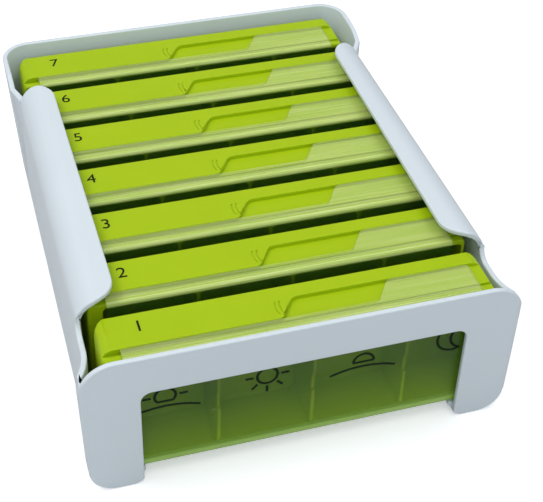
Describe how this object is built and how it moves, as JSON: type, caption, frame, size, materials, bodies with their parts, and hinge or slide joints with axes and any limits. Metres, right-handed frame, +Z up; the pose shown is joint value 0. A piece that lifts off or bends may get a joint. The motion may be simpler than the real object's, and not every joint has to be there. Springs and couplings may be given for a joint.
{
  "type": "weekly pill organiser",
  "caption": "White moulded rack with curled side rails that holds lime day boxes for pills, each with open compartments behind a clear sliding cover.",
  "frame": {"origin": "on the table, under the middle of the outline", "axes": "+Z up, front panel with the window faces -Y, the day boxes' thumb tabs are towards +X"},
  "size_m": [0.1386, 0.1706, 0.0576],
  "materials": {
    "rack_white": "satin",
    "tray_lime": "satin",
    "cover_clear": "polished"
  },
  "bodies": {
    "rack": {"rack": "rack_white"},
    "day1_box": {"day1_tray": "tray_lime"},
    "day1_lid": {"day1_cover": "cover_clear"},
    "day2_box": {"day2_tray": "tray_lime"},
    "day2_lid": {"day2_cover": "cover_clear"},
    "day3_box": {"day3_tray": "tray_lime"},
    "day3_lid": {"day3_cover": "cover_clear"},
    "day4_box": {"day4_tray": "tray_lime"},
    "day4_lid": {"day4_cover": "cover_clear"},
    "day5_box": {"day5_tray": "tray_lime"},
    "day5_lid": {"day5_cover": "cover_clear"},
    "day6_box": {"day6_tray": "tray_lime"},
    "day6_lid": {"day6_cover": "cover_clear"},
    "day7_box": {"day7_tray": "tray_lime"},
    "day7_lid": {"day7_cover": "cover_clear"}
  },
  "joints": [
    {"name": "day1_lift", "type": "slide", "parent": "rack", "child": "day1_box", "axis": [0, 0, 1], "range_m": [0, 0.056]},
    {"name": "day1_cover_slide", "type": "slide", "parent": "day1_box", "child": "day1_lid", "axis": [1, 0, 0], "range_m": [-0.0036, 0.0036]},
    {"name": "day2_lift", "type": "slide", "parent": "rack", "child": "day2_box", "axis": [0, 0, 1], "range_m": [0, 0.0012]},
    {"name": "day2_cover_slide", "type": "slide", "parent": "day2_box", "child": "day2_lid", "axis": [1, 0, 0], "range_m": [-0.0036, 0.0036]},
    {"name": "day3_lift", "type": "slide", "parent": "rack", "child": "day3_box", "axis": [0, 0, 1], "range_m": [0, 0.0012]},
    {"name": "day3_cover_slide", "type": "slide", "parent": "day3_box", "child": "day3_lid", "axis": [1, 0, 0], "range_m": [-0.0036, 0.0036]},
    {"name": "day4_lift", "type": "slide", "parent": "rack", "child": "day4_box", "axis": [0, 0, 1], "range_m": [0, 0.0012]},
    {"name": "day4_cover_slide", "type": "slide", "parent": "day4_box", "child": "day4_lid", "axis": [1, 0, 0], "range_m": [-0.0036, 0.0036]},
    {"name": "day5_lift", "type": "slide", "parent": "rack", "child": "day5_box", "axis": [0, 0, 1], "range_m": [0, 0.0012]},
    {"name": "day5_cover_slide", "type": "slide", "parent": "day5_box", "child": "day5_lid", "axis": [1, 0, 0], "range_m": [-0.0036, 0.0036]},
    {"name": "day6_lift", "type": "slide", "parent": "rack", "child": "day6_box", "axis": [0, 0, 1], "range_m": [0, 0.0012]},
    {"name": "day6_cover_slide", "type": "slide", "parent": "day6_box", "child": "day6_lid", "axis": [1, 0, 0], "range_m": [-0.0036, 0.0036]},
    {"name": "day7_lift", "type": "slide", "parent": "rack", "child": "day7_box", "axis": [0, 0, 1], "range_m": [0, 0.056]},
    {"name": "day7_cover_slide", "type": "slide", "parent": "day7_box", "child": "day7_lid", "axis": [1, 0, 0], "range_m": [-0.0036, 0.0036]}
  ]
}
